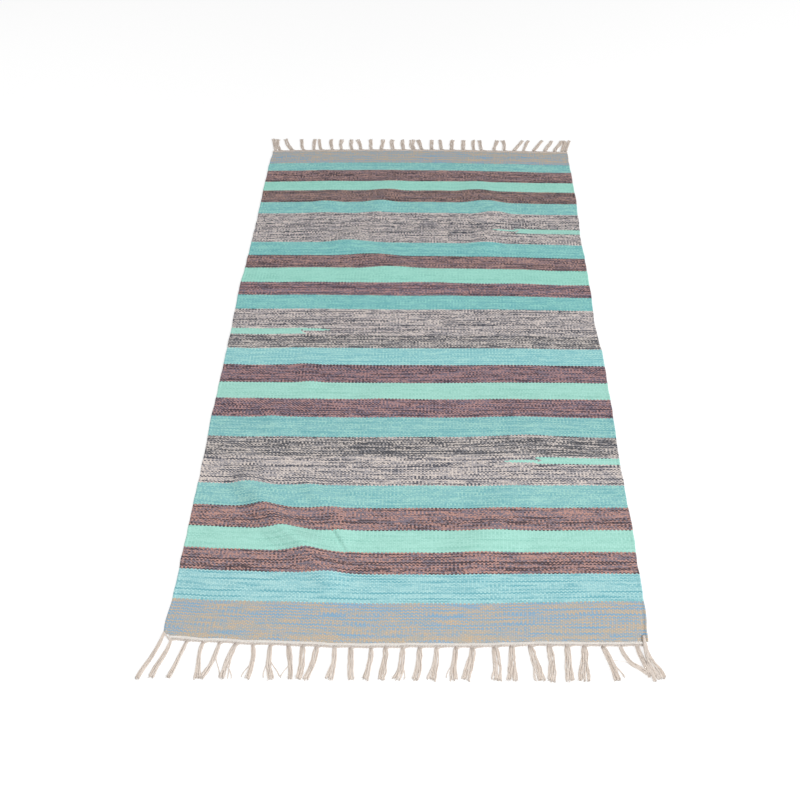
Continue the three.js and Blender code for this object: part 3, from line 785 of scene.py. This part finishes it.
def weave_material():
    material = bpy.data.materials.new("weave")
    n = Nodes(material)
    uv = n.new("ShaderNodeUVMap", uv_map="weave").outputs["UV"]
    split = n.new("ShaderNodeSeparateXYZ")
    n.link(uv, split.inputs[0])
    wx, py = split.outputs[0], split.outputs[1]

    # floats lie on a staggered lattice: the one in this warp's column, and the one in the next column
    column0 = n.math("FLOOR", wx)
    fx = n.math("SUBTRACT", n.math("SUBTRACT", wx, column0), 0.5)
    side = n.math("MULTIPLY_ADD", n.math("GREATER_THAN", fx, 0.0), 2.0, -1.0)
    column1 = n.math("ADD", column0, side)
    dx0 = n.math("ABSOLUTE", fx)
    dx1 = n.math("SUBTRACT", 1.0, dx0)
    parity0 = n.math("FLOORED_MODULO", column0, 2.0)
    parity1 = n.math("SUBTRACT", 1.0, parity0)

    def candidate(parity, dx):
        y = n.math("MULTIPLY", n.math("ADD", py, parity), 0.5)
        row = n.math("FLOOR", y)
        dy = n.math("SUBTRACT", n.math("SUBTRACT", y, row), 0.5)
        far = n.math("ADD", n.math("POWER", n.math("DIVIDE", dx, FLOAT_HALF_WIDE), 2.0),
                     n.math("POWER", n.math("ABSOLUTE", n.math("DIVIDE", dy, FLOAT_HALF_HIGH)), 2.0))
        pick = n.math("SUBTRACT", n.math("MULTIPLY_ADD", row, 2.0, 1.0), parity)
        return far, pick, dy

    far0, pick0, dy0 = candidate(parity0, dx0)
    far1, pick1, dy1 = candidate(parity1, dx1)
    first = n.math("LESS_THAN", far0, far1)

    def chosen(a, b):
        return n.math("MULTIPLY_ADD", first, n.math("SUBTRACT", a, b), b)

    far = n.math("MINIMUM", far0, far1)
    pick = n.math("ROUND", chosen(pick0, pick1))
    column = n.math("ROUND", chosen(column0, column1))
    along = chosen(dy0, dy1)

    x_mm = n.math("MULTIPLY", n.math("ADD", column, 0.5), WARP_PITCH)
    y_mm = n.math("MULTIPLY", pick, PICK_PITCH)
    place = n.math("DIVIDE", pick, float(PICKS))

    # each pick's own random numbers
    dice = n.new("ShaderNodeTexWhiteNoise", noise_dimensions="1D")
    n.link(pick, dice.inputs["W"])
    rolls = n.new("ShaderNodeSeparateColor")
    n.link(dice.outputs["Color"], rolls.inputs[0])
    r1, r2, r3 = rolls.outputs[0], rolls.outputs[1], rolls.outputs[2]

    # two picks at a time come from one length of yarn, over and back
    pair_dice = n.new("ShaderNodeTexWhiteNoise", noise_dimensions="1D")
    n.link(n.math("ADD", n.math("FLOOR", n.math("MULTIPLY", n.math("ADD", pick, 0.25), 0.5)), 4000.0), pair_dice.inputs["W"])
    pair_rolls = n.new("ShaderNodeSeparateColor")
    n.link(pair_dice.outputs["Color"], pair_rolls.inputs[0])
    q1, q2, q3 = pair_rolls.outputs[0], pair_rolls.outputs[1], pair_rolls.outputs[2]

    # streaks: a pair's, each pick's own, brief ones, patches that run over a few picks, and single floats
    run = n.noise(n.join(n.math("MULTIPLY_ADD", q1, 61.0, n.math("DIVIDE", x_mm, 90.0)), n.math("MULTIPLY", q2, 337.0)), detail=2.0, rough=0.6)
    own = n.noise(n.join(n.math("MULTIPLY_ADD", r1, 61.0, n.math("DIVIDE", x_mm, 110.0)), n.math("MULTIPLY", r2, 337.0)), detail=1.0)
    brief = n.noise(n.join(n.math("MULTIPLY_ADD", r3, 83.0, n.math("DIVIDE", x_mm, 20.0)), n.math("MULTIPLY", r1, 271.0)), detail=1.0)
    tint = n.noise(n.join(n.math("MULTIPLY_ADD", r2, 91.0, n.math("DIVIDE", x_mm, 38.0)), n.math("MULTIPLY", r3, 211.0)), detail=1.0)
    together = n.noise(n.join(n.math("MULTIPLY_ADD", q3, 47.0, n.math("DIVIDE", x_mm, 70.0)), n.math("MULTIPLY", q1, 193.0)), detail=1.0)
    patch = n.noise(n.join(n.math("DIVIDE", x_mm, 260.0), n.math("DIVIDE", y_mm, 9.0)), detail=2.0, rough=0.6)
    single = n.white(n.join(column, pick))
    other = n.white(n.join(n.math("ADD", column, 0.37), n.math("ADD", pick, 0.59)))
    # the twist of the yarn: it slants across each float, and drifts against the warps along the pick
    twist = n.math("DIVIDE", n.math("MULTIPLY", wx, WARP_PITCH), n.math("MULTIPLY_ADD", r3, 2.6, 6.4))
    twist = n.math("ADD", n.math("MULTIPLY_ADD", along, 0.85, twist), r1)
    ply = n.math("SINE", n.math("MULTIPLY", twist, 2 * math.pi))

    # kinds of weft, constant along each pick
    kinds = [(max(0.0, along_weave(at)), YARNS[kind]) for kind, at in STRIPES]
    light = n.ramp(place, [(at, k[0]) for at, k in kinds])
    middle = n.ramp(place, [(at, k[1]) for at, k in kinds])
    dark = n.ramp(place, [(at, k[2]) for at, k in kinds])
    habits = n.new("ShaderNodeSeparateColor")
    n.link(n.ramp(place, [(at, (k[3], k[4], k[5])) for at, k in kinds]), habits.inputs[0])
    share, soft, twisted = habits.outputs[0], habits.outputs[1], habits.outputs[2]
    # each kind's strength of painted shade in the hollows, how far its picks alternate, and how far pairs share colour
    hollow_shade_and_picks = n.new("ShaderNodeSeparateColor")
    n.link(n.ramp(place, [(at, (k[6] / 2, k[7] / 2, k[8])) for at, k in kinds]), hollow_shade_and_picks.inputs[0])
    hollow_shade = n.math("MULTIPLY", hollow_shade_and_picks.outputs[0], 2.0)
    alternate, paired = n.math("MULTIPLY", hollow_shade_and_picks.outputs[1], 2.0), hollow_shade_and_picks.outputs[2]

    # the slivers of mint
    inside = None
    for row in SLIVERS:
        at = dict(zip(SLIVER_COLUMNS, row))
        hand = at["side"]
        low, high = (along_weave(at[key]) * RUG_LENGTH for key in ("low", "high"))
        t_low, t_high = (along_weave(at[key]) * RUG_LENGTH for key in ("tongue_low", "tongue_high"))
        mid, half = (low + high) / 2, (high - low) / 2
        x_in = n.math("MULTIPLY_ADD", x_mm, float(hand), -hand * (RUG_WIDTH / 2 + at["prongs"]))
        depth = abs(at["notch"] - at["prongs"])
        off = n.math("ABSOLUTE", n.math("SUBTRACT", y_mm, mid))
        notch = n.math("MULTIPLY_ADD", off, -depth / half * 1.25, depth)
        body = n.math("MULTIPLY", n.math("LESS_THAN", off, half), n.math("GREATER_THAN", x_in, n.math("MAXIMUM", notch, 0.0)))
        t_off = n.math("ABSOLUTE", n.math("SUBTRACT", y_mm, (t_low + t_high) / 2))
        reach = abs(at["prongs"] - at["tongue"])
        # the tongue grows from a point to its full height
        grown = n.math("MULTIPLY_ADD", n.math("ADD", x_in, reach), (t_high - t_low) / 2 / 22.0, 0.0)
        tongue = n.math("MULTIPLY", n.math("LESS_THAN", t_off, n.math("MINIMUM", grown, (t_high - t_low) / 2)),
                        n.math("LESS_THAN", x_in, 6.0))
        both = n.math("MAXIMUM", body, tongue)
        inside = both if inside is None else n.math("MAXIMUM", inside, both)
    mint = YARNS["mint"]
    light = n.mix(inside, light, mint[0])
    middle = n.mix(inside, middle, mint[1])
    dark = n.mix(inside, dark, mint[2])
    share, soft, twisted, hollow_shade, alternate = (
        n.math("MULTIPLY_ADD", inside, n.math("SUBTRACT", own_value, value), value)
        for own_value, value in zip((mint[3], mint[4], mint[5], mint[6], mint[7]), (share, soft, twisted, hollow_shade, alternate)))

    blend = n.math("MULTIPLY_ADD", n.math("SUBTRACT", own, 0.5), 1.1, 0.5)
    blend = n.math("MULTIPLY_ADD", n.math("SUBTRACT", run, 0.5), 0.8, blend)
    blend = n.math("MULTIPLY_ADD", n.math("SUBTRACT", brief, 0.5), 0.7, blend)
    blend = n.math("MULTIPLY_ADD", n.math("SUBTRACT", q3, 0.5), 0.22, blend)
    blend = n.math("MULTIPLY_ADD", n.math("SUBTRACT", patch, 0.5), 0.22, blend)
    blend = n.math("MULTIPLY_ADD", n.math("SUBTRACT", r3, 0.5), 0.34, blend)
    blend = n.math("MULTIPLY_ADD", n.math("SUBTRACT", single, 0.5), n.remap(place, 0.2, 0.9, 0.28, 0.60), blend)
    # where one shuttle goes over and back, two picks share their colour
    both = n.math("MULTIPLY_ADD", n.math("SUBTRACT", run, 0.5), 1.0, 0.5)
    both = n.math("MULTIPLY_ADD", n.math("SUBTRACT", together, 0.5), 1.3, both)
    both = n.math("MULTIPLY_ADD", n.math("SUBTRACT", q3, 0.5), 0.60, both)
    both = n.math("MULTIPLY_ADD", n.math("SUBTRACT", single, 0.5), 0.16, both)
    # and the two shuttles take turns, so one pair differs from the next
    pair_turn = n.math("FLOORED_MODULO", n.math("FLOOR", n.math("MULTIPLY", n.math("ADD", pick, 0.25), 0.5)), 2.0)
    both = n.math("ADD", both, n.math("MULTIPLY_ADD", pair_turn, 0.48, -0.24))
    blend = n.math("MULTIPLY_ADD", n.math("SUBTRACT", pair_turn, 0.5), n.math("MULTIPLY_ADD", soft, -0.42, 0.44), blend)
    blend = n.math("MULTIPLY_ADD", n.math("SUBTRACT", both, blend), paired, blend)
    # here and there a darker length of yarn runs on and on
    line = n.math("MULTIPLY", n.smooth(q3, 0.84, 0.90), n.smooth(n.math("ADD", run, n.math("MULTIPLY", own, 0.3)), 0.55, 0.70))
    blend = n.math("MULTIPLY_ADD", n.math("MULTIPLY", line, n.math("SUBTRACT", 1.05, soft)), 0.32, blend)
    # two shuttles in turn: one pick a little darker than the next
    turns = n.math("MULTIPLY_ADD", n.math("FLOORED_MODULO", pick, 2.0), 0.14, -0.07)
    blend = n.math("MULTIPLY_ADD", turns, alternate, blend)
    blend = n.math("MULTIPLY_ADD", ply, twisted, blend)
    threshold = n.math("SUBTRACT", 1.0, share)
    darkness = n.smooth(blend, n.math("MULTIPLY_ADD", soft, -0.5, threshold), n.math("MULTIPLY_ADD", soft, 0.5, threshold))
    tinted = n.math("MULTIPLY_ADD", ply, 0.08, n.math("MULTIPLY_ADD", n.math("SUBTRACT", other, 0.5), 0.26, tint))
    tinted = n.smooth(tinted, 0.38, 0.62)

    colour = n.mix(darkness, n.mix(tinted, light, middle), dark)

    # relief of the floats, for the bump, and painted shade in the hollows between them
    dome = n.math("SQRT", n.math("MAXIMUM", n.math("SUBTRACT", 1.0, far), 0.0))
    fuzz = n.noise(n.join(n.math("MULTIPLY", wx, WARP_PITCH), n.math("MULTIPLY", py, PICK_PITCH)), scale=1.6, detail=3.0, rough=0.7)
    height = n.math("ADD", dome, n.math("MULTIPLY", n.math("ABSOLUTE", ply), 0.10))
    height = n.math("MULTIPLY_ADD", fuzz, 0.22, height)

    # painted shade: the colour is darkened in the hollows between floats, as far as each kind says; the fuzz then
    # varies it a little at random
    shade = n.math("MULTIPLY_ADD", n.math("MULTIPLY", n.remap(far, 0.18, 0.64), hollow_shade), -0.30, 1.0)
    shade = n.math("MULTIPLY", shade, n.remap(fuzz, 0.2, 0.8, 0.94, 1.06))
    grey = n.new("ShaderNodeCombineColor")
    for k in range(3):
        n.link(shade, grey.inputs[k])
    colour = n.mix(1.0, colour, grey.outputs[0], "MULTIPLY")

    bump = n.new("ShaderNodeBump")
    bump.inputs["Strength"].default_value = 1.0
    bump.inputs["Distance"].default_value = 0.0006
    n.link(height, bump.inputs["Height"])

    shader = n.new("ShaderNodeBsdfPrincipled")
    n.link(colour, shader.inputs["Base Color"])
    n.link(bump.outputs[0], shader.inputs["Normal"])
    shader.inputs["Roughness"].default_value = 0.92
    shader.inputs["Specular IOR Level"].default_value = 0.15
    shader.inputs["Sheen Weight"].default_value = 0.10
    shader.inputs["Sheen Roughness"].default_value = 0.6
    out = n.new("ShaderNodeOutputMaterial")
    n.link(shader.outputs[0], out.inputs["Surface"])
    return material


def yarn_material():
    material = bpy.data.materials.new("fringe_yarn")
    n = Nodes(material)
    uv = n.new("ShaderNodeUVMap", uv_map="yarn").outputs["UV"]
    split = n.new("ShaderNodeSeparateXYZ")
    n.link(uv, split.inputs[0])
    along, around = split.outputs[0], split.outputs[1]
    tone = n.new("ShaderNodeAttribute", attribute_name="tone").outputs["Fac"]
    twist = n.math("SINE", n.math("MULTIPLY", n.math("MULTIPLY_ADD", along, 0.55, n.math("MULTIPLY", around, 2.0)), 6.283))
    fibre = n.noise(n.join(n.math("MULTIPLY", along, 0.9), n.math("MULTIPLY_ADD", around, 8.0, n.math("MULTIPLY", tone, 40.0))), scale=2.2, detail=3.0, rough=0.7)
    base = n.mix(tone, linear(225, 213, 204), linear(214, 197, 183))
    # painted light: the near heading's cords, whose tone is below zero, are made paler than the tassels, the first row
    # most
    base = n.mix(n.remap(tone, -1.0, 0.0, 1.0, 0.0), base, linear(255, 250, 245))
    base = n.mix(n.remap(fibre, 0.3, 0.7, 0.0, 0.5), base, linear(228, 222, 213))
    # painted shade: the colour darkens in the grooves of the twist
    groove_shade = n.remap(twist, -1.0, 0.2, 0.88, 1.0)
    grey = n.new("ShaderNodeCombineColor")
    for k in range(3):
        n.link(groove_shade, grey.inputs[k])
    base = n.mix(1.0, base, grey.outputs[0], "MULTIPLY")
    # painted shade: the deep attribute darkens the colour, at the roots' left and on the heading's second row
    deep = n.new("ShaderNodeAttribute", attribute_name="deep").outputs["Fac"]
    base = n.mix(n.math("MULTIPLY", deep, 0.75), base, linear(120, 98, 92), "MULTIPLY")
    bump = n.new("ShaderNodeBump")
    bump.inputs["Strength"].default_value = 0.8
    bump.inputs["Distance"].default_value = 0.0003
    n.link(n.math("ADD", n.math("MULTIPLY", twist, 0.5), fibre), bump.inputs["Height"])
    shader = n.new("ShaderNodeBsdfPrincipled")
    n.link(base, shader.inputs["Base Color"])
    n.link(bump.outputs[0], shader.inputs["Normal"])
    shader.inputs["Roughness"].default_value = 0.9
    shader.inputs["Specular IOR Level"].default_value = 0.15
    shader.inputs["Sheen Weight"].default_value = 0.2
    out = n.new("ShaderNodeOutputMaterial")
    n.link(shader.outputs[0], out.inputs["Surface"])
    return material


def floor_material():
    material = bpy.data.materials.new("pale_floor")
    n = Nodes(material)
    shader = n.new("ShaderNodeBsdfPrincipled")
    shader.inputs["Base Color"].default_value = (0.50, 0.50, 0.50, 1)
    shader.inputs["Emission Color"].default_value = (1, 1, 1, 1)
    shader.inputs["Emission Strength"].default_value = 0.545
    shader.inputs["Roughness"].default_value = 0.8
    shader.inputs["Specular IOR Level"].default_value = 0.2
    out = n.new("ShaderNodeOutputMaterial")
    n.link(shader.outputs[0], out.inputs["Surface"])
    return material


# ------------------------------------------------------------------ build
rug = cloth()
rug.data.materials.append(weave_material())

yarn = yarn_material()
near_tassels, near_heading = fringe("fringe_near", NEAR_TASSELS, -1, FRINGE_NEAR, 11)
far_tassels, far_heading = fringe("fringe_far", FAR_TASSELS, 1, FRINGE_FAR, 23)
for obj in (near_tassels, near_heading, far_tassels, far_heading):
    obj.data.materials.append(yarn)

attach(rug, "root")
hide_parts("rug")
for obj, node in ((near_tassels, "fringe_near"), (near_heading, "fringe_near"), (far_tassels, "fringe_far"), (far_heading, "fringe_far")):
    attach(obj, "root")
    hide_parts(node)

# ------------------------------------------------------------------ floor, light and camera
floor = make_mesh("floor", [(-9, -9, -0.0004), (9, -9, -0.0004), (9, 9, -0.0004), (-9, 9, -0.0004)], [(0, 1, 2, 3)], smooth=False)
floor.data.materials.append(floor_material())

scene = bpy.context.scene
world = bpy.data.worlds.new("studio")
world.use_nodes = True
background = world.node_tree.nodes["Background"]
background.inputs["Color"].default_value = (1.0, 1.0, 1.0, 1)
background.inputs["Strength"].default_value = 0.425
scene.world = world


def area_light(name, place, aim, size, power, colour=(1, 1, 1)):
    data = bpy.data.lights.new(name, "AREA")
    data.shape = "DISK"
    data.size = size
    data.energy = power
    data.color = colour
    obj = bpy.data.objects.new(name, data)
    obj.location = place
    obj.rotation_euler = (Vector(aim) - Vector(place)).to_track_quat("-Z", "Y").to_euler()
    scene.collection.objects.link(obj)
    return obj


area_light("key", (4.6, -1.45, 4.3), (0.0, -0.1, 0), 1.45, 241)
area_light("side", (-1.9, 1.3, 1.6), (-0.4, 0.6, 0), 0.8, 7)
area_light("fill", (-0.12, -1.61, 1.71), (-0.1, -0.4, 0), 1.0, 17.5)

# the camera: a 34 mm lens at standing height, looking down at the rug from its near end
FOCAL_PX = 760.76
CAMERA_AT = (0.0495, -1.2443, 1.4047 + CLOTH_THICK * MM)
CAMERA_TURN = (36.798, 0.192, 0.850)
camera_data = bpy.data.cameras.new("camera")
camera_data.sensor_width = 36
camera_data.lens = FOCAL_PX / 800 * 36
camera_data.shift_x = -24.9 / 800
camera_data.shift_y = 0.5 / 800
camera_data.clip_start = 0.01
camera_data.clip_end = 100
camera = bpy.data.objects.new("camera", camera_data)
camera.location = (CAMERA_AT[0] + SHIFT_X * MM, CAMERA_AT[1] + SHIFT_Y * MM, CAMERA_AT[2])
camera.rotation_euler = tuple(math.radians(a) for a in CAMERA_TURN)
scene.collection.objects.link(camera)
scene.camera = camera

scene.view_settings.view_transform = "Standard"
scene.view_settings.look = "None"
scene.view_settings.exposure = 0.0
scene.view_settings.gamma = 1.0
